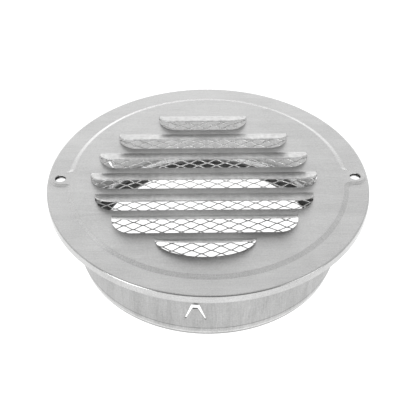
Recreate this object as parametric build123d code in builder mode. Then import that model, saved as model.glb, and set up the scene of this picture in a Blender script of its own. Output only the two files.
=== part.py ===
"""Round louvred wall vent: pressed face plate, insect screen and duct collar.

The vent lies as it stands on a bench, on the foot of its collar. The origin is the centre of the foot,
+Z points out of the wall through the louvres, and +Y points up the wall.
Sizes are in millimetres and degrees.
"""
import os
from math import cos, hypot, radians, sin, sqrt

from build123d import *

# Collar: a drawn cup, open at its foot
collar_diameter = 97.8
collar_height = 30.0
collar_sheet = 0.5
flange_clearance = 1.5
flange_inner_bend = 0.35
lead_in_height = 3.3
lead_in_inset = 0.8
lead_in_bend = 1.5
foot_inner_bend = 0.5
foot_lip = 5.5

# Face plate: rim, outer ring and raised panel
face_overhang = 9.6
face_sheet = 0.5
rim_height = 3.0
rim_inner_bend = 0.2
ring_width = 7.4
panel_raise = 0.7
panel_slope_width = 1.8

# Screw holes and the ears of the panel round them
screw_inset = 4.75
screw_hole_diameter = 4.0
ear_margin = 0.85
ear_slope_width = 0.7
ear_blend = 2.5

# Louvres: the lowest rows stand further out than the rest, and the last one has a bowed edge
louvre_pitch = 11.7
louvre_width = 9.0
louvre_angle = 25.5
low_row_angle = 37.0
low_row_count = 2
louvre_corner = 7.2
corner_share_limit = 0.9
louvre_inner_bend = 1.2
louvre_margin = 8.0
louvre_end_rise = 2.5
louvre_field_drop = 1.65
louvre_field_shift = -1.5
lance_gap = 0.15

# Insect screen
screen_clearance = 0.4
screen_thickness = 0.8
screen_strand = 1.1
screen_margin = 1.5
diamond_length = 14.0
diamond_height = 7.8

# Spring tongues
tongue_count = 3
tongue_azimuth = -96.0
tongue_root_height = 8.8
tongue_height = 6.6
tongue_root_width = 6.4
tongue_tip_width = 1.7
tongue_spring = 1.3
tongue_slit = 0.55

# Radii and levels that follow from the sizes
collar_radius = collar_diameter / 2
collar_middle = collar_sheet / 2
face_radius = collar_radius + face_overhang
face_middle = face_sheet / 2
flange_radius = face_radius - face_sheet - flange_clearance
panel_radius = face_radius - ring_width
panel_flat_radius = panel_radius - panel_slope_width
screw_radius = face_radius - screw_inset
screw_points = ((-screw_radius, 0), (screw_radius, 0))
ear_radius = screw_inset - ear_margin
ring_bottom = collar_height
ring_top = ring_bottom + face_sheet
rim_bottom = ring_top - rim_height
panel_bottom = ring_bottom + panel_raise
panel_top = ring_top + panel_raise

os.makedirs("parts", exist_ok=True)


def panel_outline(panel_inset, ear_inset):
    """Draw the round panel with an ear round each screw hole, drawn in by the two insets."""
    Circle(panel_radius - panel_inset)
    SlotCenterToCenter(2 * screw_radius, 2 * (ear_radius - ear_inset))
    ear_roots = [corner for corner in vertices() if abs(corner.X) < panel_radius]
    fillet(ear_roots, ear_blend)


def louvre_rows():
    """Give the hinge line and half length of each row that fits the field, from the top down."""
    field_radius = panel_flat_radius - louvre_margin
    last_row = int(field_radius / louvre_pitch)
    rows = []
    for row in range(-last_row, last_row + 1):
        end_height = abs(row) * louvre_pitch + louvre_end_rise
        half_length = sqrt(max(field_radius**2 - end_height**2, 0))
        if half_length > louvre_corner:
            hinge_y = louvre_width / 2 - row * louvre_pitch - louvre_field_drop
            rows.append((hinge_y, half_length))
    return rows


def louvre_outline(half_length, width, bowed):
    """Draw a louvre below its hinge line: half an ellipse if bowed, or else a strip with two round corners."""
    if bowed:
        Ellipse(half_length, width)
        Rectangle(2 * half_length, width, align=(Align.CENTER, Align.MAX), mode=Mode.INTERSECT)
    else:
        Rectangle(2 * half_length, width, align=(Align.CENTER, Align.MAX))
        fillet(vertices().group_by(Axis.Y)[0], min(louvre_corner, corner_share_limit * width))


# Face plate: one pressed sheet with a turned-back rim, a raised panel and lanced louvres
hinge_radius = louvre_inner_bend + face_middle

with BuildPart() as face_plate:
    with BuildSketch(Plane.XZ):
        with BuildLine():
            FilletPolyline(
                (0, ring_top - face_middle),
                (face_radius - face_middle, ring_top - face_middle),
                (face_radius - face_middle, rim_bottom),
                radius=rim_inner_bend + face_middle,
            )
        trace(line_width=face_sheet)
    revolve(axis=Axis.Z)

    for lower, upper, mode in ((ring_top, panel_top, Mode.ADD), (ring_bottom, panel_bottom, Mode.SUBTRACT)):
        with BuildSketch(Plane.XY.offset(lower)):
            panel_outline(0, 0)
        with BuildSketch(Plane.XY.offset(upper)):
            panel_outline(panel_slope_width, ear_slope_width)
        loft(ruled=True, mode=mode)

    rows = louvre_rows()
    for row, (hinge_y, half_length) in enumerate(rows):
        bowed = row == len(rows) - 1
        angle = low_row_angle if row >= len(rows) - low_row_count else louvre_angle
        flap_length = louvre_width - hinge_radius * radians(angle)

        with BuildSketch(Plane((louvre_field_shift, hinge_y, panel_top))):
            louvre_outline(half_length + lance_gap, louvre_width, bowed)
        extrude(amount=-face_sheet, mode=Mode.SUBTRACT)

        with BuildSketch(Plane.YZ.offset(louvre_field_shift - half_length)):
            with BuildLine():
                hinge = JernArc((hinge_y, panel_top - face_middle), (-1, 0), hinge_radius, -angle)
            trace(line_width=face_sheet)
        extrude(amount=2 * half_length)

        flap_plane = Plane(
            origin=(louvre_field_shift, (hinge @ 1).X, (hinge @ 1).Y),
            x_dir=(1, 0, 0),
            z_dir=(0, sin(radians(angle)), cos(radians(angle))),
        )
        with BuildSketch(flap_plane):
            louvre_outline(half_length, flap_length, bowed)
        extrude(amount=face_middle, both=True)

    with Locations(*((x, y, panel_top) for x, y in screw_points)):
        Hole(screw_hole_diameter / 2)

face_plate.part.label = "face_plate"
export_step(face_plate.part, "parts/face_plate.step")

# Insect screen: a disc of diamond lattice fixed behind the raised panel
screen_radius = min(panel_flat_radius, collar_radius - collar_sheet) - screen_clearance
strand_share = screen_strand / diamond_height * hypot(1, diamond_height / diamond_length)
hole_length = diamond_length * (1 - strand_share)
hole_height = diamond_height * (1 - strand_share)


def diamond_centres():
    """Give the centres of the lattice's diamonds that lie whole inside the screen's margin."""
    last_column = int(2 * screen_radius / diamond_length)
    last_row = int(2 * screen_radius / diamond_height)
    centres = []
    for column in range(-last_column, last_column + 1):
        for row in range(-last_row, last_row + 1):
            x = column * diamond_length / 2
            y = row * diamond_height / 2
            side_reach = hypot(abs(x) + hole_length / 2, y)
            end_reach = hypot(x, abs(y) + hole_height / 2)
            staggered = (column + row) % 2 == 0
            if staggered and max(side_reach, end_reach) < screen_radius - screen_margin:
                centres.append((x, y))
    return centres


with BuildPart() as mesh_screen:
    with BuildSketch(Plane.XY.offset(panel_bottom)):
        Circle(screen_radius)
        with Locations(*diamond_centres()):
            Polygon(
                (hole_length / 2, 0),
                (0, hole_height / 2),
                (-hole_length / 2, 0),
                (0, -hole_height / 2),
                mode=Mode.SUBTRACT,
            )
    extrude(amount=-screen_thickness)

mesh_screen.part.label = "mesh_screen"
export_step(mesh_screen.part, "parts/mesh_screen.step")

# Spring tongue and its window, made at the bottom of the wall and turned into place with the others
tongue_tip_height = tongue_root_height + tongue_height


def tongue_outline(slit):
    """Draw the tongue's outline from its root up, with a slit left round its sides and tip."""
    Polygon(
        (-tongue_root_width / 2 - slit, tongue_root_height),
        (tongue_root_width / 2 + slit, tongue_root_height),
        (tongue_tip_width / 2 + slit, tongue_tip_height + slit),
        (-tongue_tip_width / 2 - slit, tongue_tip_height + slit),
        align=None,
    )


with BuildPart() as tongue_window:
    with BuildSketch(Plane.XZ):
        tongue_outline(tongue_slit)
    extrude(amount=collar_diameter)

with BuildPart() as tongue:
    with BuildSketch(Plane.XZ):
        Polygon(
            (collar_radius - collar_sheet, tongue_root_height),
            (collar_radius, tongue_root_height),
            (collar_radius + tongue_spring, tongue_tip_height),
            (collar_radius + tongue_spring - collar_sheet, tongue_tip_height),
            align=None,
        )
    revolve(axis=Axis.Z)
    with BuildSketch(Plane.XZ):
        tongue_outline(0)
    extrude(amount=collar_diameter, mode=Mode.INTERSECT)

# Collar: flange under the face, wall with tongues, tapered lead-in and turned-in foot
wall_middle = collar_radius - collar_middle
foot_radius = wall_middle - lead_in_inset

with BuildPart() as collar:
    with BuildSketch(Plane.XZ):
        with BuildLine():
            FilletPolyline(
                (flange_radius, collar_height - collar_middle),
                (wall_middle, collar_height - collar_middle),
                (wall_middle, lead_in_height),
                (foot_radius, collar_middle),
                (foot_radius - foot_lip, collar_middle),
                radius=[flange_inner_bend + collar_middle, lead_in_bend, foot_inner_bend + collar_middle],
            )
        trace(line_width=collar_sheet)
    revolve(axis=Axis.Z)
    with PolarLocations(0, tongue_count, start_angle=tongue_azimuth + 90):
        add(tongue_window.part, mode=Mode.SUBTRACT)
        add(tongue.part)
    with Locations(*((x, y, collar_height) for x, y in screw_points)):
        Hole(screw_hole_diameter / 2)

collar.part.label = "collar"
export_step(collar.part, "parts/collar.step")
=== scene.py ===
"""Looks of a round louvred wall vent in satin steel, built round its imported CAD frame.

The face plate and the collar are the CAD nodes themselves with brushed finishes.
The insect screen is a new piece at the real pitch, in place of the coarse CAD lattice.
Sizes are in metres and radians.
"""

from math import cos, radians, sin

import bpy
import numpy as np
from mathutils import Matrix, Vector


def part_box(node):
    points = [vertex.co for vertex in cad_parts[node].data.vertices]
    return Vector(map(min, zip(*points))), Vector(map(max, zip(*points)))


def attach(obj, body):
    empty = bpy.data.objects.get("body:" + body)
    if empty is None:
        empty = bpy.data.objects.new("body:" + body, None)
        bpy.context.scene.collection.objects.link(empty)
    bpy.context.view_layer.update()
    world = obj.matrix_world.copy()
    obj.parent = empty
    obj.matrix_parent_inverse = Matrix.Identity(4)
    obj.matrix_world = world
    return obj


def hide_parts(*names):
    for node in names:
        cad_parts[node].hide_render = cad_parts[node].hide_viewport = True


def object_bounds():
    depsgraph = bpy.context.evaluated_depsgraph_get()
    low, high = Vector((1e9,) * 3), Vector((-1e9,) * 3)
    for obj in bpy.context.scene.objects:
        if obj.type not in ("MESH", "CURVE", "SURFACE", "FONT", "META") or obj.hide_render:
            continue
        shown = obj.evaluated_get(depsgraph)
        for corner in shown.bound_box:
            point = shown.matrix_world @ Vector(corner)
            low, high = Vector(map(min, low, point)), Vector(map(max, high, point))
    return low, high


bl_info = {
    "name": "Louvred Wall Vent",
    "version": (1, 0, 0),
    "blender": (4, 5, 0),
    "location": "View3D > Sidebar > Vent",
    "description": "Finishes a round louvred wall vent on its CAD frame and sets up its stage",
    "category": "Object",
}

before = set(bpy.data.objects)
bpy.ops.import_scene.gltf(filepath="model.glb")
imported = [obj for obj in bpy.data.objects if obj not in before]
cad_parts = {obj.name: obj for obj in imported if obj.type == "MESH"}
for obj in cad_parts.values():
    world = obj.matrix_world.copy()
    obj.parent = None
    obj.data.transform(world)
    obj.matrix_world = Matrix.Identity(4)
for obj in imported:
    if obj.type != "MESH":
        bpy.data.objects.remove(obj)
cad_low, cad_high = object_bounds()
screen_low, screen_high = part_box("mesh_screen")
collar_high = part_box("collar")[1]

# Sizes and levels of the solids
FACE_SHEET = 0.0005
COLLAR_SHEET = 0.0005
COLLAR_RADIUS = 0.0489
LEAD_IN_INSET = 0.0008
RING_TOP = collar_high.z + FACE_SHEET
PANEL_TOP = screen_high.z + FACE_SHEET
INNER_WALL = COLLAR_RADIUS - COLLAR_SHEET
INNER_FOOT = INNER_WALL - LEAD_IN_INSET

# Screen: section and wave of its bars, points along them, and how soon the darkening towards the
# lower side fades out
SECTION_SIDES = 8
SECTION_SQUARENESS = 0.5
WAVE_TIP = 0.95
SAMPLES_PER_DIAMOND = 12
HOOP_SAMPLES = 180
LOWER_SHADE_FADE_RATIO = 3

# Noises of the finishes: label, scale and detail, and the values that most of a noise lies between
ROLLING_NOISES = (("Fine", 1.0, 2.0), ("Broad", 0.12, 3.0))
HANDLING_NOISES = (("Clouds", 55.0, 5.0), ("Speckle", 1900.0, 2.0))
NOISE_RANGE = (0.3, 0.7)

# How the noises share in the tone and the roughness of the metal
FINE_SHARE = 0.6
BROAD_SHARE = 0.4
CLOUD_GLOSS = 0.75
SPECKLE_GLOSS = 0.25
ROUGHNESS_SWING = 0.1
BUMP_DEPTH = 0.000001

# Width over which a mask changes on each sheet
FACE_EDGE = FACE_SHEET / 8
COLLAR_EDGE = COLLAR_SHEET / 10

# Masks by the rise of the normal: from level to slope, from upright to slope, and the cut edges
LEVEL_TO_SLOPE = (0.9, 0.8)
UPRIGHT_TO_SLOPE = (0.4, 0.6)
CUT_EDGE_STOPS = ((-1.0, 0.0), (-0.3, 0.0), (-0.1, 1.0), (0.65, 1.0), (0.72, 0.0), (1.0, 0.0))

# Studio light: each direction with the stops of the light along it
BACK_LIGHT = (
    (-0.03, 1.0, 0.0),
    ((-1.0, 0.2), (-0.7, 0.2), (0.0, 0.64), (0.708, 0.77), (0.82, 1.0), (0.94, 1.3), (1.0, 2.1)),
)
WALL_LIGHT = ((0.0, 0.0, 1.0), ((-1.0, 0.5), (0.2, 0.5), (0.45, 0.0), (1.0, 0.0)))
GLOW_LIGHT = ((-0.47, 0.6, 0.647), ((-1.0, 0.0), (0.8, 0.0), (0.95, 0.89), (1.0, 0.89)))

# Floor and camera
FLOOR_SIDES = 96
FLOOR_SHADE = (0.05, 0.05, 0.05, 1.0)
WHITE = (1.0, 1.0, 1.0, 1.0)
SENSOR_WIDTH = 36.0
CLIP_START = 0.01
CLIP_END = 10.0


class VentSteel(bpy.types.PropertyGroup):
    """Finish of the pressed sheet and the drawn collar."""

    face_shade: bpy.props.FloatVectorProperty(
        name="Face shade",
        description="Reflection colour of the face plate",
        subtype="COLOR",
        size=3,
        min=0.0,
        max=1.0,
        default=(0.549, 0.549, 0.547),
    )
    collar_shade: bpy.props.FloatVectorProperty(
        name="Collar shade",
        description="Reflection colour of the collar",
        subtype="COLOR",
        size=3,
        min=0.0,
        max=1.0,
        default=(0.408, 0.408, 0.406),
    )
    face_roughness: bpy.props.FloatProperty(
        name="Face roughness",
        description="How satin the face plate is",
        subtype="FACTOR",
        min=0.0,
        max=1.0,
        default=0.39,
    )
    collar_roughness: bpy.props.FloatProperty(
        name="Collar roughness",
        description="How satin the collar is",
        subtype="FACTOR",
        min=0.0,
        max=1.0,
        default=0.36,
    )
    bend_polish: bpy.props.FloatProperty(
        name="Bend polish",
        description="How much of its roughness the steel keeps where the press has bent it",
        subtype="FACTOR",
        min=0.0,
        max=1.0,
        default=0.5,
    )
    ear_softness: bpy.props.FloatProperty(
        name="Ear softness",
        description="How far the slopes round the screw holes look dished instead of cut",
        subtype="FACTOR",
        min=0.0,
        max=1.0,
        default=0.57,
    )
    # Stretch marks across the louvres, which also stand in for a painted reflection of fine stripes
    # on their tops.
    stretch_and_reflection_pitch: bpy.props.FloatProperty(
        name="Stretch mark pitch",
        description="Distance from one stretch mark to the next across a louvre",
        unit="LENGTH",
        min=0.0001,
        default=0.0016,
    )
    stretch_and_reflection_swing: bpy.props.FloatProperty(
        name="Stretch mark strength",
        description="How far the stretch marks are lighter and darker than the steel",
        subtype="FACTOR",
        min=0.0,
        max=1.0,
        default=0.12,
    )
    # Painted highlight on the louvres' cut edges.
    edge_painted_highlight: bpy.props.FloatProperty(
        name="Cut edge shine",
        description="How much brighter the louvres are along their cut edges",
        min=0.0,
        max=2.0,
        default=1.5,
    )
    edge_coarseness: bpy.props.FloatProperty(
        name="Cut edge coarseness",
        description="How much rougher the louvres are along their cut edges",
        min=1.0,
        max=3.0,
        default=1.8,
    )
    # Painted shade: a thin darker line painted round the collar above the foot.
    shade_line_height: bpy.props.FloatProperty(
        name="Draw line height",
        description="Height of the line that the die leaves above the foot",
        unit="LENGTH",
        min=0.0,
        default=0.0043,
    )
    shade_line_width: bpy.props.FloatProperty(
        name="Draw line width",
        description="Width of the line that the die leaves above the foot",
        unit="LENGTH",
        min=0.00005,
        default=0.0003,
    )
    shade_line_level: bpy.props.FloatProperty(
        name="Draw line shade",
        description="How much of its brightness the steel keeps in the die's line",
        subtype="FACTOR",
        min=0.0,
        max=1.0,
        default=0.52,
    )
    # Painted light on the band between the line of painted shade and the foot.
    foot_painted_light: bpy.props.FloatProperty(
        name="Foot shine",
        description="How much brighter the steel is between the die's line and the foot",
        min=0.0,
        max=2.0,
        default=1.14,
    )
    # Painted light on the inside of the collar.
    inside_painted_light: bpy.props.FloatProperty(
        name="Inside shine",
        description="How much brighter the steel is on the inside of the collar",
        min=0.0,
        max=2.0,
        default=1.18,
    )
    # Painted glow on the wall inside, just above the painted shade, fading out upwards.
    inside_painted_glow: bpy.props.FloatProperty(
        name="Inside glow",
        description="How much brighter the inside of the collar is just above the dirt",
        min=0.0,
        max=2.0,
        default=1.7,
    )
    inside_painted_glow_height: bpy.props.FloatProperty(
        name="Inside glow height",
        description="Height above the bench at which the glow on the inside has faded out",
        unit="LENGTH",
        min=0.001,
        default=0.008,
    )
    # Painted shade on the turned-in foot and on the lowest part of the wall inside, lighter towards
    # its top.
    painted_shade_height: bpy.props.FloatProperty(
        name="Grime height",
        description="Height above the bench up to which the inside of the collar is dirty",
        unit="LENGTH",
        min=0.0,
        default=0.0018,
    )
    painted_shade_thinning: bpy.props.FloatProperty(
        name="Grime thinning",
        description="How much brighter the dirty steel is at the top of the grime",
        min=1.0,
        max=4.0,
        default=2.4,
    )
    foot_painted_shade: bpy.props.FloatProperty(
        name="Foot grime",
        description="How much of its brightness the steel keeps on the turned-in foot",
        subtype="FACTOR",
        min=0.0,
        max=1.0,
        default=0.47,
    )
    grain_length: bpy.props.FloatProperty(
        name="Grain length",
        description="Length of the rolling marks along the sheet",
        unit="LENGTH",
        min=0.001,
        default=0.007,
    )
    grain_pitch: bpy.props.FloatProperty(
        name="Grain pitch",
        description="Distance from one rolling mark to the next",
        unit="LENGTH",
        min=0.00005,
        default=0.00035,
    )


class VentScreen(bpy.types.PropertyGroup):
    """Sizes of the expanded-metal insect screen."""

    diamond_length: bpy.props.FloatProperty(
        name="Diamond length",
        description="Long way of one opening, bond to bond",
        unit="LENGTH",
        min=0.001,
        default=0.0066,
    )
    diamond_height: bpy.props.FloatProperty(
        name="Diamond height",
        description="Short way of one opening, bond to bond",
        unit="LENGTH",
        min=0.001,
        default=0.0036,
    )
    pattern_shift: bpy.props.FloatVectorProperty(
        name="Pattern shift",
        description="How far the pattern lies off the centre of the disc that was cut from it",
        subtype="XYZ_LENGTH",
        size=2,
        default=(0.0016, -0.0004),
    )
    pattern_turn: bpy.props.FloatProperty(
        name="Pattern turn",
        description="How far the pattern is turned in the disc that was cut from it",
        subtype="ANGLE",
        default=radians(0.6),
    )
    edge_width: bpy.props.FloatProperty(
        name="Edge width",
        description="Width of the flat edge round the screen",
        unit="LENGTH",
        min=0.0001,
        default=0.0015,
    )
    strand_width: bpy.props.FloatProperty(
        name="Strand width",
        description="Width of one strand in the plane of the screen",
        unit="LENGTH",
        min=0.0001,
        default=0.00034,
    )
    strand_thickness: bpy.props.FloatProperty(
        name="Strand thickness",
        description="Thickness of the sheet that was slit and stretched",
        unit="LENGTH",
        min=0.0001,
        default=0.0003,
    )
    strand_tilt: bpy.props.FloatProperty(
        name="Strand tilt",
        description="Turn of a strand out of the plane of the screen",
        subtype="ANGLE",
        default=radians(25),
    )
    bond_step: bpy.props.FloatProperty(
        name="Bond step",
        description="Height of the bonds above and below the middle of the screen",
        unit="LENGTH",
        default=0.00012,
    )
    shade: bpy.props.FloatVectorProperty(
        name="Screen shade",
        description="Reflection colour of the screen's metal",
        subtype="COLOR",
        size=3,
        min=0.0,
        max=1.0,
        default=(0.97, 0.97, 0.965),
    )
    # The screen's metal is painted darker towards its lower side.
    lower_shade: bpy.props.FloatProperty(
        name="Dust shade",
        description="How much of its brightness the screen's metal keeps under dust",
        subtype="FACTOR",
        min=0.0,
        max=1.0,
        default=0.6,
    )
    lower_shade_reach: bpy.props.FloatProperty(
        name="Dust reach",
        description="Share of the screen's lower half that lies above the full dust",
        subtype="FACTOR",
        min=0.0,
        max=1.0,
        default=0.5,
    )
    roughness: bpy.props.FloatProperty(
        name="Screen roughness",
        description="How matt the screen's metal is",
        subtype="FACTOR",
        min=0.0,
        max=1.0,
        default=0.25,
    )


class VentStage(bpy.types.PropertyGroup):
    """Camera, floor and light round the vent."""

    lens: bpy.props.FloatProperty(
        name="Lens",
        description="Focal length of the camera",
        unit="CAMERA",
        min=1.0,
        default=77.3,
    )
    distance: bpy.props.FloatProperty(
        name="Camera distance",
        description="Distance from the camera to the centre of the face",
        unit="LENGTH",
        min=0.01,
        default=0.32631,
    )
    elevation: bpy.props.FloatProperty(
        name="Camera elevation",
        description="Angle of the camera above the plane of the face",
        subtype="ANGLE",
        default=radians(39.57),
    )
    azimuth: bpy.props.FloatProperty(
        name="Camera azimuth",
        description="Angle of the camera round the vent from its lower side",
        subtype="ANGLE",
        default=radians(-1.3),
    )
    aim_drop: bpy.props.FloatProperty(
        name="Aim drop",
        description="How far below the centre of the face the camera points",
        subtype="ANGLE",
        default=radians(1.88),
    )
    roll: bpy.props.FloatProperty(
        name="Camera roll",
        description="Turn of the camera about its own line of sight",
        subtype="ANGLE",
        default=radians(0.376),
    )
    softbox_size: bpy.props.FloatProperty(
        name="Softbox size",
        description="Diameter of both soft lights",
        unit="LENGTH",
        min=0.01,
        default=0.5,
    )
    softbox_distance: bpy.props.FloatProperty(
        name="Softbox distance",
        description="Distance from both soft lights to the face",
        unit="LENGTH",
        min=0.1,
        default=1.0,
    )
    softbox_elevation: bpy.props.FloatProperty(
        name="Softbox elevation",
        description="Angle of the stronger light on the left above the floor",
        subtype="ANGLE",
        default=radians(14),
    )
    softbox_azimuth: bpy.props.FloatProperty(
        name="Softbox azimuth",
        description="Angle of the stronger light round the vent from its lower side",
        subtype="ANGLE",
        default=radians(-50),
    )
    softbox_power: bpy.props.FloatProperty(
        name="Softbox power",
        description="Power of the stronger light on the left",
        unit="POWER",
        min=0.0,
        default=2.2,
    )
    fill_elevation: bpy.props.FloatProperty(
        name="Fill elevation",
        description="Angle of the weaker light on the right above the floor",
        subtype="ANGLE",
        default=radians(22),
    )
    fill_azimuth: bpy.props.FloatProperty(
        name="Fill azimuth",
        description="Angle of the weaker light round the vent from its lower side",
        subtype="ANGLE",
        default=radians(60),
    )
    fill_power: bpy.props.FloatProperty(
        name="Fill power",
        description="Power of the weaker light on the right",
        unit="POWER",
        min=0.0,
        default=0.9,
    )
    floor_radius: bpy.props.FloatProperty(
        name="Floor radius",
        description="Radius of the round floor",
        unit="LENGTH",
        min=0.1,
        default=1.5,
    )
    light_strength: bpy.props.FloatProperty(
        name="Light strength",
        description="Strength of the studio light and of the light table",
        min=0.0,
        default=1.2,
    )
    backdrop: bpy.props.FloatVectorProperty(
        name="Backdrop shade",
        description="Colour of the backdrop above the floor",
        subtype="COLOR",
        size=3,
        min=0.0,
        max=1.0,
        default=(0.86, 0.86, 0.86),
    )


def fill_mesh(name, points, faces):
    """Make an object at the origin from an array of points and an array of faces.

    All faces have the same number of corners.
    """
    mesh = bpy.data.meshes.new(name)
    corners = faces.shape[1]
    mesh.vertices.add(len(points))
    mesh.vertices.foreach_set("co", points.astype(np.float32).ravel())
    mesh.loops.add(faces.size)
    mesh.loops.foreach_set("vertex_index", faces.astype(np.int32).ravel())
    mesh.polygons.add(len(faces))
    mesh.polygons.foreach_set("loop_start", np.arange(0, faces.size, corners, dtype=np.int32))
    mesh.polygons.foreach_set("use_smooth", np.ones(len(faces), dtype=bool))
    mesh.update(calc_edges=True)
    mesh.validate()
    piece = bpy.data.objects.new(name, mesh)
    bpy.context.scene.collection.objects.link(piece)
    return piece


def tube_faces(paths, samples, sides, closed=False):
    """Give the quads of several tubes whose points run by path, then along it, then round it.

    Each quad joins one side of a ring to the same side of the next ring.
    The last side joins the first, and in a closed tube the last ring joins the first as well.
    """
    path = np.arange(paths)[:, None, None] * samples * sides
    ring = np.arange(samples if closed else samples - 1)[None, :, None]
    side = np.arange(sides)[None, None, :]
    here = path + ring * sides
    ahead = path + (ring + 1) % samples * sides
    beside = (side + 1) % sides
    quads = np.stack([here + side, here + beside, ahead + beside, ahead + side], axis=-1)
    return quads.reshape(-1, 4)


def tube_caps(paths, samples, sides):
    """Give the quads that close both ends of the tubes, as strips across the end rings."""
    side = np.arange(sides // 2 - 1)
    strips = np.stack([side, side + 1, sides - 2 - side, sides - 1 - side], axis=-1)
    path = np.arange(paths)[:, None, None] * samples * sides
    first = path + strips[:, ::-1]
    last = path + (samples - 1) * sides + strips
    return np.concatenate([first, last]).reshape(-1, 4)


def strand_wave(turns):
    """Give a triangle wave with rounded tips: arcsine of a weakened sine, scaled to one."""
    return np.arcsin(WAVE_TIP * np.sin(2 * np.pi * turns)) / np.arcsin(WAVE_TIP)


def bar_section(width, thickness, tilt):
    """Give a section across a bar and up it: a rounded rectangle turned by a tilt.

    It is a superellipse: the cosine and the sine of the angle, each raised to the squareness.
    The first point lies half a step round, so that the sides are flat.
    """
    angle = (np.arange(SECTION_SIDES) + 0.5) * 2 * np.pi / SECTION_SIDES
    level = np.cos(angle)
    upright = np.sin(angle)
    across = width / 2 * np.sign(level) * np.abs(level) ** SECTION_SQUARENESS
    through = thickness / 2 * np.sign(upright) * np.abs(upright) ** SECTION_SQUARENESS
    flat = across * np.cos(tilt) - through * np.sin(tilt)
    rise = across * np.sin(tilt) + through * np.cos(tilt)
    return flat, rise


def strand_points(settings, reach, middle):
    """Give the points of all strands of the expanded metal, by strand, along it and round it.

    A strand is a wave that swings by a quarter of the diamond height.
    Its neighbours are the same wave upside down, so that they meet at the bonds.
    The level rises and falls with the wave, so neighbours stay joined where they meet.
    The whole pattern is shifted and turned a little, as the disc was cut.
    """
    row_pitch = settings.diamond_height / 2
    swing = settings.diamond_height / 4
    rows = np.arange(-int(reach / row_pitch) - 1, int(reach / row_pitch) + 2)
    row_y = rows * row_pitch + settings.pattern_shift[1]
    inside = np.abs(row_y) + swing < reach
    rows = rows[inside, None]
    row_y = row_y[inside, None]
    samples = int(2 * reach / settings.diamond_length * SAMPLES_PER_DIAMOND)

    half_length = np.sqrt(reach**2 - (np.abs(row_y) + swing) ** 2)
    x = half_length * np.linspace(-1, 1, samples)[None, :]
    wave = strand_wave((x - settings.pattern_shift[0]) / settings.diamond_length)
    y = row_y + np.where(rows % 2 == 0, 1, -1) * swing * wave
    level = middle + settings.bond_step * wave

    run_x = np.gradient(x, axis=1)
    run_y = np.gradient(y, axis=1)
    run = np.hypot(run_x, run_y)
    tilt = settings.strand_tilt
    flat, rise = bar_section(settings.strand_width, settings.strand_thickness, tilt)
    section_x = x[..., None] - (run_y / run)[..., None] * flat
    section_y = y[..., None] + (run_x / run)[..., None] * flat
    turn = settings.pattern_turn
    return np.stack(
        [
            section_x * np.cos(turn) - section_y * np.sin(turn),
            section_x * np.sin(turn) + section_y * np.cos(turn),
            level[..., None] + np.broadcast_to(rise, section_x.shape),
        ],
        axis=-1,
    )


def hoop_points(settings, radius, middle):
    """Give the points of the screen's flat edge: one section carried round a whole circle."""
    angle = np.arange(HOOP_SAMPLES)[:, None] * 2 * np.pi / HOOP_SAMPLES
    flat, rise = bar_section(settings.edge_width, settings.strand_thickness, 0.0)
    reach = radius - settings.edge_width / 2 - flat
    level = np.broadcast_to(middle + rise, (HOOP_SAMPLES, SECTION_SIDES))
    return np.stack([reach * np.cos(angle), reach * np.sin(angle), level], axis=-1)


def add_node(tree, kind, **settings):
    """Add a node to a tree and set its own properties."""
    node = tree.nodes.new(kind)
    for name, value in settings.items():
        setattr(node, name, value)
    return node


def remap(tree, value, low, high, value_low=0.0, value_high=1.0):
    """Carry a value that runs from zero to one, or between other ends, over to low and high."""
    node = add_node(tree, "ShaderNodeMapRange")
    node.inputs["From Min"].default_value = value_low
    node.inputs["From Max"].default_value = value_high
    node.inputs["To Min"].default_value = low
    node.inputs["To Max"].default_value = high
    tree.links.new(value, node.inputs["Value"])
    return node.outputs["Result"]


def noise_group(name, noises):
    """Give a node group, built once, of noises with a label, a scale and a detail each."""
    if name in bpy.data.node_groups:
        return bpy.data.node_groups[name]
    group = bpy.data.node_groups.new(name, "ShaderNodeTree")
    group.interface.new_socket("Vector", in_out="INPUT", socket_type="NodeSocketVector")
    for label, _, _ in noises:
        group.interface.new_socket(label, in_out="OUTPUT", socket_type="NodeSocketFloat")
    start = add_node(group, "NodeGroupInput")
    end = add_node(group, "NodeGroupOutput")
    for label, scale, detail in noises:
        noise = add_node(group, "ShaderNodeTexNoise")
        noise.inputs["Scale"].default_value = scale
        noise.inputs["Detail"].default_value = detail
        group.links.new(start.outputs["Vector"], noise.inputs["Vector"])
        group.links.new(noise.outputs["Fac"], end.inputs[label])
    return group


def weigh(tree, noises_and_weights):
    """Spread noises to run from zero to one, and add them up, each by its share of the whole."""
    total = None
    for noise, weight in noises_and_weights:
        share = remap(tree, noise, 0.0, weight, *NOISE_RANGE)
        if total is None:
            total = share
        else:
            add = add_node(tree, "ShaderNodeMath", operation="ADD")
            tree.links.new(total, add.inputs[0])
            tree.links.new(share, add.inputs[1])
            total = add.outputs["Value"]
    return total


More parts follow.
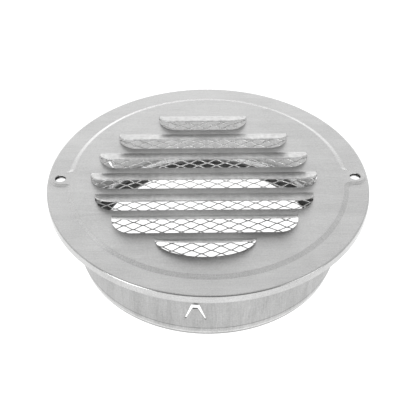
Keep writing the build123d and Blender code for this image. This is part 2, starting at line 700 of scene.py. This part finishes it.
def steel_material(name, shade, roughness, grain_scale, grain_share, swing):
    """Satin metal: rolling marks, clouds and speckle vary the shade and stand out as a fine bump.

    Clouds and speckle also vary the roughness. The clouds are where the steel has been touched.
    """
    material = bpy.data.materials.new(name)
    material.use_nodes = True
    tree = material.node_tree
    steel = tree.nodes["Principled BSDF"]
    steel.inputs["Metallic"].default_value = 1.0

    place = add_node(tree, "ShaderNodeTexCoord")
    stretch = add_node(tree, "ShaderNodeMapping")
    stretch.inputs["Scale"].default_value = grain_scale
    tree.links.new(place.outputs["Object"], stretch.inputs["Vector"])
    rolling = noise_group("Rolling Marks", ROLLING_NOISES)
    grain = add_node(tree, "ShaderNodeGroup", node_tree=rolling)
    tree.links.new(stretch.outputs["Vector"], grain.inputs["Vector"])
    touch = noise_group("Handling Marks", HANDLING_NOISES)
    handling = add_node(tree, "ShaderNodeGroup", node_tree=touch)
    tree.links.new(place.outputs["Object"], handling.inputs["Vector"])

    rest = (1 - grain_share) / 2
    tone = weigh(
        tree,
        (
            (grain.outputs["Fine"], grain_share * FINE_SHARE),
            (grain.outputs["Broad"], grain_share * BROAD_SHARE),
            (handling.outputs["Clouds"], rest),
            (handling.outputs["Speckle"], rest),
        ),
    )
    colour = add_node(tree, "ShaderNodeMix", data_type="RGBA")
    darkest = (channel * (1 - swing) for channel in shade)
    brightest = (min(channel * (1 + swing), 1.0) for channel in shade)
    colour.inputs["A"].default_value = (*darkest, 1.0)
    colour.inputs["B"].default_value = (*brightest, 1.0)
    tree.links.new(tone, colour.inputs["Factor"])
    tree.links.new(colour.outputs["Result"], steel.inputs["Base Color"])

    gloss = weigh(
        tree,
        (
            (handling.outputs["Clouds"], CLOUD_GLOSS),
            (handling.outputs["Speckle"], SPECKLE_GLOSS),
        ),
    )
    satin = remap(tree, gloss, roughness - ROUGHNESS_SWING, roughness + ROUGHNESS_SWING)
    tree.links.new(satin, steel.inputs["Roughness"])

    bump = add_node(tree, "ShaderNodeBump")
    bump.inputs["Distance"].default_value = BUMP_DEPTH
    tree.links.new(tone, bump.inputs["Height"])
    tree.links.new(bump.outputs["Normal"], steel.inputs["Normal"])
    return material


def ramp_mask(tree, value, stops):
    """Give a mask along a value: rising stops hold the value and the mask's level there."""
    low = stops[0][0]
    high = stops[-1][0]
    ramp = add_node(tree, "ShaderNodeValToRGB")
    elements = ramp.color_ramp.elements
    for at, _ in stops[1:-1]:
        elements.new((at - low) / (high - low))
    for element, (at, level) in zip(elements, stops):
        element.position = (at - low) / (high - low)
        element.color = (level, level, level, 1.0)
    tree.links.new(remap(tree, value, 0.0, 1.0, low, high), ramp.inputs["Fac"])
    return ramp.outputs["Color"]


def step_stops(start, end, top, below, above):
    """Give the stops of a mask with one level up to a start and another above an end."""
    return (0.0, below), (start, below), (end, above), (top, above)


def band_stops(low, high, edge, top, inside, outside):
    """Give the stops of a mask with one level in a band and another outside it."""
    return (
        (0.0, outside),
        (low, outside),
        (low + edge, inside),
        (high - edge, inside),
        (high, outside),
        (top, outside),
    )


def shade_by_mask(tree, mask):
    """Multiply the steel's base colour by a mask."""
    steel = tree.nodes["Principled BSDF"]
    before = steel.inputs["Base Color"].links[0].from_socket
    multiply = add_node(tree, "ShaderNodeMix", data_type="RGBA", blend_type="MULTIPLY")
    multiply.inputs["Factor"].default_value = 1.0
    tree.links.new(before, multiply.inputs["A"])
    tree.links.new(mask, multiply.inputs["B"])
    tree.links.new(multiply.outputs["Result"], steel.inputs["Base Color"])


def limit_mask(tree, mask, area):
    """Keep a mask inside an area, and give one outside it."""
    share = add_node(tree, "ShaderNodeMix", data_type="FLOAT")
    share.inputs["A"].default_value = 1.0
    tree.links.new(area, share.inputs["Factor"])
    tree.links.new(mask, share.inputs["B"])
    return share.outputs["Result"]


def polish_by_mask(tree, mask):
    """Multiply the steel's roughness by a mask."""
    steel = tree.nodes["Principled BSDF"]
    before = steel.inputs["Roughness"].links[0].from_socket
    multiply = add_node(tree, "ShaderNodeMath", operation="MULTIPLY")
    tree.links.new(before, multiply.inputs[0])
    tree.links.new(mask, multiply.inputs[1])
    tree.links.new(multiply.outputs["Value"], steel.inputs["Roughness"])


def object_reach(tree):
    """Give the distance from the vent's axis."""
    place = add_node(tree, "ShaderNodeTexCoord")
    flat = add_node(tree, "ShaderNodeVectorMath", operation="MULTIPLY")
    flat.inputs[1].default_value = (1.0, 1.0, 0.0)
    tree.links.new(place.outputs["Object"], flat.inputs[0])
    reach = add_node(tree, "ShaderNodeVectorMath", operation="LENGTH")
    tree.links.new(flat.outputs["Vector"], reach.inputs[0])
    return reach.outputs["Value"]


def object_axis(tree, axis):
    """Give one of the Object coordinates."""
    place = add_node(tree, "ShaderNodeTexCoord")
    parts = add_node(tree, "ShaderNodeSeparateXYZ")
    tree.links.new(place.outputs["Object"], parts.inputs["Vector"])
    return parts.outputs[axis]


def surface_rise(tree):
    """Give the surface's normal and how far the normal rises: its part along +Z."""
    geometry = add_node(tree, "ShaderNodeNewGeometry")
    parts = add_node(tree, "ShaderNodeSeparateXYZ")
    tree.links.new(geometry.outputs["Normal"], parts.inputs["Vector"])
    return geometry.outputs["Normal"], parts.outputs["Z"]


def soften_slopes(tree, mask, share):
    """Lean the normals of slopes towards +Z by a share, inside a mask, so that they look dished."""
    normal, rise = surface_rise(tree)
    lean = mask
    for ends in (LEVEL_TO_SLOPE, UPRIGHT_TO_SLOPE):
        within = add_node(tree, "ShaderNodeMath", operation="MULTIPLY")
        tree.links.new(lean, within.inputs[0])
        tree.links.new(remap(tree, rise, 0.0, 1.0, *ends), within.inputs[1])
        lean = within.outputs["Value"]
    blend = add_node(tree, "ShaderNodeMix", data_type="VECTOR")
    blend.inputs["B"].default_value = (0.0, 0.0, 1.0)
    tree.links.new(remap(tree, lean, 0.0, share), blend.inputs["Factor"])
    tree.links.new(normal, blend.inputs["A"])
    unit = add_node(tree, "ShaderNodeVectorMath", operation="NORMALIZE")
    tree.links.new(blend.outputs["Result"], unit.inputs[0])
    bump = tree.nodes["Principled BSDF"].inputs["Normal"].links[0].from_node
    tree.links.new(unit.outputs["Vector"], bump.inputs["Normal"])


def mark_face(tree, steel):
    """Mark the face: bends polished by the press, dished ears, and the louvres.

    The louvres have stretch marks across them, which are partly a painted reflection of stripes,
    and coarse cut edges with a painted highlight.
    """
    height = object_axis(tree, "Z")
    slope = band_stops(RING_TOP, PANEL_TOP, FACE_EDGE, cad_high.z, 1.0, 0.0)
    soften_slopes(tree, ramp_mask(tree, height, slope), steel.ear_softness)
    slope_polish = band_stops(
        RING_TOP + FACE_EDGE,
        PANEL_TOP - FACE_EDGE,
        FACE_EDGE,
        cad_high.z,
        steel.bend_polish,
        1.0,
    )
    polish_by_mask(tree, ramp_mask(tree, height, slope_polish))
    rim = cad_high.x - FACE_SHEET
    rim_polish = step_stops(rim - FACE_EDGE, rim + FACE_EDGE, cad_high.x, 1.0, steel.bend_polish)
    polish_by_mask(tree, ramp_mask(tree, object_reach(tree), rim_polish))

    place = add_node(tree, "ShaderNodeTexCoord")
    stretch = add_node(tree, "ShaderNodeMapping")
    along = 1 / steel.grain_length
    stretch.inputs["Scale"].default_value = (1 / steel.stretch_and_reflection_pitch, along, along)
    tree.links.new(place.outputs["Object"], stretch.inputs["Vector"])
    marks = add_node(tree, "ShaderNodeTexNoise")
    marks.inputs["Scale"].default_value = 1.0
    tree.links.new(stretch.outputs["Vector"], marks.inputs["Vector"])
    # Stretch marks vary the colour of the louvres. They are partly a painted reflection of stripes.
    swing = steel.stretch_and_reflection_swing
    stretch_and_reflection_marks = remap(tree, marks.outputs["Fac"], 1 - swing, 1 + swing, *NOISE_RANGE)
    above_panel = step_stops(PANEL_TOP, PANEL_TOP + FACE_SHEET, cad_high.z, 0.0, 1.0)
    louvre = ramp_mask(tree, height, above_panel)
    shade_by_mask(tree, limit_mask(tree, stretch_and_reflection_marks, louvre))

    rise = surface_rise(tree)[1]
    cut_edge = add_node(tree, "ShaderNodeMath", operation="MULTIPLY")
    tree.links.new(louvre, cut_edge.inputs[0])
    tree.links.new(ramp_mask(tree, rise, CUT_EDGE_STOPS), cut_edge.inputs[1])
    # Painted highlight: the cut edges are painted brighter, and they are also made rougher.
    shade_by_mask(tree, remap(tree, cut_edge.outputs["Value"], 1.0, steel.edge_painted_highlight))
    polish_by_mask(tree, remap(tree, cut_edge.outputs["Value"], 1.0, steel.edge_coarseness))


def inside_stops(foot, wall, outside):
    """Give the stops of a mask by distance from the axis: foot, wall inside, and outside."""
    return (
        (0.0, foot),
        (INNER_FOOT - COLLAR_EDGE, foot),
        (INNER_FOOT + COLLAR_EDGE, wall),
        (INNER_WALL + COLLAR_EDGE, wall),
        (INNER_WALL + 2 * COLLAR_EDGE, outside),
        (cad_high.x, outside),
    )


def mark_collar(tree, steel):
    """Mark the collar: a thin line of painted shade above a band of painted light at the foot
    outside, and painted shade on the foot inside.

    The painted shade thins out up the wall inside, with a painted glow above it that fades further
    up.
    """
    height = object_axis(tree, "Z")
    reach = object_reach(tree)
    # A thin line of painted shade above the foot, with a band of painted light below it.
    line = steel.shade_line_height
    width = steel.shade_line_width
    shade_line = (
        (0.0, steel.foot_painted_light),
        (line - width, steel.foot_painted_light),
        (line, steel.shade_line_level),
        (line + width, 1.0),
        (collar_high.z, 1.0),
    )
    shade_by_mask(tree, ramp_mask(tree, height, shade_line))
    # Painted shade on the foot inside, and painted light on the wall inside.
    inside = inside_stops(steel.foot_painted_shade, steel.inside_painted_light, 1.0)
    shade_by_mask(tree, ramp_mask(tree, reach, inside))

    # Painted shade low on the wall inside, thinning upwards, then a painted glow that fades out
    # further up.
    foot_shade = steel.foot_painted_shade / steel.inside_painted_light
    wall_painted_shade_and_glow = (
        (0.0, foot_shade),
        (COLLAR_SHEET, foot_shade),
        (steel.painted_shade_height - 2 * COLLAR_EDGE, foot_shade * steel.painted_shade_thinning),
        (steel.painted_shade_height + 2 * COLLAR_EDGE, steel.inside_painted_glow),
        (steel.inside_painted_glow_height, 1.0),
        (collar_high.z, 1.0),
    )
    wall = ramp_mask(tree, reach, inside_stops(0.0, 1.0, 0.0))
    shade_by_mask(tree, limit_mask(tree, ramp_mask(tree, height, wall_painted_shade_and_glow), wall))


def dress_node(node, material):
    """Give a CAD node its finish through the object's own material slot."""
    node.material_slots[0].link = "OBJECT"
    node.material_slots[0].material = material


class VENT_OT_face_plate(bpy.types.Operator):
    """Finish the pressed face plate in steel rolled from left to right"""

    bl_idname = "vent.face_plate"
    bl_label = "Face Plate"

    def execute(self, context):
        steel = context.scene.vent_steel
        along = 1 / steel.grain_length
        across = 1 / steel.grain_pitch
        grain = (along, across, across)
        material = steel_material(
            "face_steel",
            steel.face_shade,
            steel.face_roughness,
            grain,
            grain_share=0.34,
            swing=0.24,
        )
        mark_face(material.node_tree, steel)
        dress_node(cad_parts["face_plate"], material)
        return {"FINISHED"}


class VENT_OT_collar(bpy.types.Operator):
    """Finish the drawn collar in steel with faint upright draw lines"""

    bl_idname = "vent.collar"
    bl_label = "Collar"

    def execute(self, context):
        steel = context.scene.vent_steel
        along = 1 / steel.grain_length
        across = 1 / steel.grain_pitch
        grain = (across, across, along)
        material = steel_material(
            "collar_steel",
            steel.collar_shade,
            steel.collar_roughness,
            grain,
            grain_share=0.4,
            swing=0.4,
        )
        mark_collar(material.node_tree, steel)
        dress_node(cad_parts["collar"], material)
        return {"FINISHED"}


class VENT_OT_insect_screen(bpy.types.Operator):
    """Build the expanded-metal insect screen at its real pitch"""

    bl_idname = "vent.insect_screen"
    bl_label = "Insect Screen"

    def execute(self, context):
        settings = context.scene.vent_screen
        steel = context.scene.vent_steel
        tilt = settings.strand_tilt
        strand_height = settings.strand_thickness * cos(tilt) + settings.strand_width * sin(tilt)
        middle = screen_high.z - strand_height / 2 - settings.bond_step
        strands = strand_points(settings, screen_high.x - settings.edge_width / 2, middle)
        hoop = hoop_points(settings, screen_high.x, middle)
        strand_rows = strands.reshape(-1, 3)
        hoop_rows = hoop.reshape(-1, 3)
        faces = np.concatenate(
            [
                tube_faces(*strands.shape[:3]),
                tube_caps(*strands.shape[:3]),
                tube_faces(1, *hoop.shape[:2], closed=True) + len(strand_rows),
            ]
        )
        piece = fill_mesh("insect_screen", np.concatenate([strand_rows, hoop_rows]), faces)

        scale = 1 / steel.grain_pitch
        material = steel_material(
            "screen_metal",
            settings.shade,
            settings.roughness,
            (scale, scale, scale),
            grain_share=0.3,
            swing=0.15,
        )
        tree = material.node_tree
        # The screen is painted darker towards its lower side.
        lower_shade_top = screen_low.y * settings.lower_shade_reach
        lower_shade_ramp = (
            (screen_low.y, settings.lower_shade),
            (lower_shade_top, settings.lower_shade),
            (lower_shade_top / LOWER_SHADE_FADE_RATIO, 1.0),
            (screen_high.y, 1.0),
        )
        shade_by_mask(tree, ramp_mask(tree, object_axis(tree, "Y"), lower_shade_ramp))
        piece.data.materials.append(material)
        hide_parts("mesh_screen")
        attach(piece, "root")
        return {"FINISHED"}


def floor_disc(radius):
    """Give a flat disc as one face that points up: points on a circle about the origin."""
    corners = np.arange(FLOOR_SIDES)
    angle = corners * 2 * np.pi / FLOOR_SIDES
    level = np.zeros(FLOOR_SIDES)
    points = np.stack([radius * np.cos(angle), radius * np.sin(angle), level], axis=-1)
    return points, corners[None, :]


def floor_material(strength):
    """White light table: even emission, so that the floor stays white under and round the vent."""
    material = bpy.data.materials.new("floor_white")
    material.use_nodes = True
    surface = material.node_tree.nodes["Principled BSDF"]
    surface.inputs["Base Color"].default_value = FLOOR_SHADE
    surface.inputs["Roughness"].default_value = 1.0
    surface.inputs["Specular IOR Level"].default_value = 0.0
    surface.inputs["Emission Color"].default_value = WHITE
    surface.inputs["Emission Strength"].default_value = strength
    return material


def studio_world(strength, backdrop):
    """Soft studio light: bright low at the back, grey overhead, dark in front above a pale wall.

    One ramp runs from the front to the back, leaning a little to the left.
    One runs up +Z from the wall's foot to its top.
    One runs in to the middle of a soft glow high on the left.
    The brightest of them counts, and the camera sees a plain backdrop instead.
    """
    world = bpy.data.worlds.new("studio")
    world.use_nodes = True
    tree = world.node_tree
    tree.nodes.clear()
    place = add_node(tree, "ShaderNodeTexCoord")
    brightest = None
    for direction, stops in (BACK_LIGHT, WALL_LIGHT, GLOW_LIGHT):
        along = add_node(tree, "ShaderNodeVectorMath", operation="DOT_PRODUCT")
        along.inputs[1].default_value = direction
        tree.links.new(place.outputs["Generated"], along.inputs[0])
        level = ramp_mask(tree, along.outputs["Value"], stops)
        if brightest is None:
            brightest = level
        else:
            lighten = add_node(tree, "ShaderNodeMix", data_type="RGBA", blend_type="LIGHTEN")
            lighten.inputs["Factor"].default_value = 1.0
            tree.links.new(brightest, lighten.inputs["A"])
            tree.links.new(level, lighten.inputs["B"])
            brightest = lighten.outputs["Result"]
    light = add_node(tree, "ShaderNodeBackground")
    light.inputs["Strength"].default_value = strength
    tree.links.new(brightest, light.inputs["Color"])

    plain = add_node(tree, "ShaderNodeBackground")
    plain.inputs["Color"].default_value = (*backdrop, 1.0)
    path = add_node(tree, "ShaderNodeLightPath")
    choose = add_node(tree, "ShaderNodeMixShader")
    tree.links.new(path.outputs["Is Camera Ray"], choose.inputs["Fac"])
    tree.links.new(light.outputs["Background"], choose.inputs[1])
    tree.links.new(plain.outputs["Background"], choose.inputs[2])
    output = add_node(tree, "ShaderNodeOutputWorld")
    tree.links.new(choose.outputs["Shader"], output.inputs["Surface"])
    return world


class VENT_OT_stage(bpy.types.Operator):
    """Set up the white floor, the soft studio light and the camera"""

    bl_idname = "vent.stage"
    bl_label = "Stage"

    def execute(self, context):
        settings = context.scene.vent_stage
        scene = context.scene
        floor = fill_mesh("floor", *floor_disc(settings.floor_radius))
        floor.data.materials.append(floor_material(settings.light_strength))

        scene.world = studio_world(settings.light_strength, settings.backdrop)
        scene.view_settings.view_transform = "Standard"

        face_centre = Matrix.Translation((0, 0, RING_TOP))
        lights = (
            (
                "softbox",
                settings.softbox_azimuth,
                settings.softbox_elevation,
                settings.softbox_power,
            ),
            ("fill", settings.fill_azimuth, settings.fill_elevation, settings.fill_power),
        )
        for name, azimuth, elevation, power in lights:
            light = bpy.data.objects.new(name, bpy.data.lights.new(name, "AREA"))
            scene.collection.objects.link(light)
            light.data.shape = "DISK"
            light.data.size = settings.softbox_size
            light.data.energy = power
            light.matrix_world = (
                face_centre
                @ Matrix.Rotation(azimuth, 4, "Z")
                @ Matrix.Rotation(radians(90) - elevation, 4, "X")
                @ Matrix.Translation((0, 0, settings.softbox_distance))
            )

        camera = bpy.data.objects.new("camera", bpy.data.cameras.new("camera"))
        scene.collection.objects.link(camera)
        camera.data.lens = settings.lens
        camera.data.sensor_width = SENSOR_WIDTH
        camera.data.clip_start = CLIP_START
        camera.data.clip_end = CLIP_END
        turn = Matrix.Rotation(settings.azimuth, 4, "Z")
        tilt = Matrix.Rotation(radians(90) - settings.elevation, 4, "X")
        aim = Matrix.Rotation(-settings.aim_drop, 4, "X")
        roll = Matrix.Rotation(settings.roll, 4, "Z")
        back = Matrix.Translation((0, 0, settings.distance))
        camera.matrix_world = face_centre @ turn @ tilt @ back @ aim @ roll
        scene.camera = camera
        return {"FINISHED"}


class VENT_PT_sidebar(bpy.types.Panel):
    """Vent settings and the operators that build it"""

    bl_label = "Wall Vent"
    bl_space_type = "VIEW_3D"
    bl_region_type = "UI"
    bl_category = "Vent"

    def draw(self, context):
        layout = self.layout
        for operator in OPERATORS:
            layout.operator(operator.bl_idname)
        for group, kind in SETTINGS:
            box = layout.box()
            for name in kind.__annotations__:
                box.prop(getattr(context.scene, group), name)


SETTINGS = (("vent_steel", VentSteel), ("vent_screen", VentScreen), ("vent_stage", VentStage))
OPERATORS = (VENT_OT_face_plate, VENT_OT_collar, VENT_OT_insect_screen, VENT_OT_stage)


def register():
    """Register the settings, the operators and the panel."""
    for name, settings in SETTINGS:
        bpy.utils.register_class(settings)
        setattr(bpy.types.Scene, name, bpy.props.PointerProperty(type=settings))
    for operator in OPERATORS:
        bpy.utils.register_class(operator)
    bpy.utils.register_class(VENT_PT_sidebar)


def unregister():
    """Take everything out again, in the opposite order."""
    bpy.utils.unregister_class(VENT_PT_sidebar)
    for operator in reversed(OPERATORS):
        bpy.utils.unregister_class(operator)
    for name, settings in reversed(SETTINGS):
        delattr(bpy.types.Scene, name)
        bpy.utils.unregister_class(settings)


def main():
    register()
    bpy.ops.vent.face_plate()
    bpy.ops.vent.collar()
    bpy.ops.vent.insect_screen()
    bpy.ops.vent.stage()


if __name__ == "__main__":
    main()
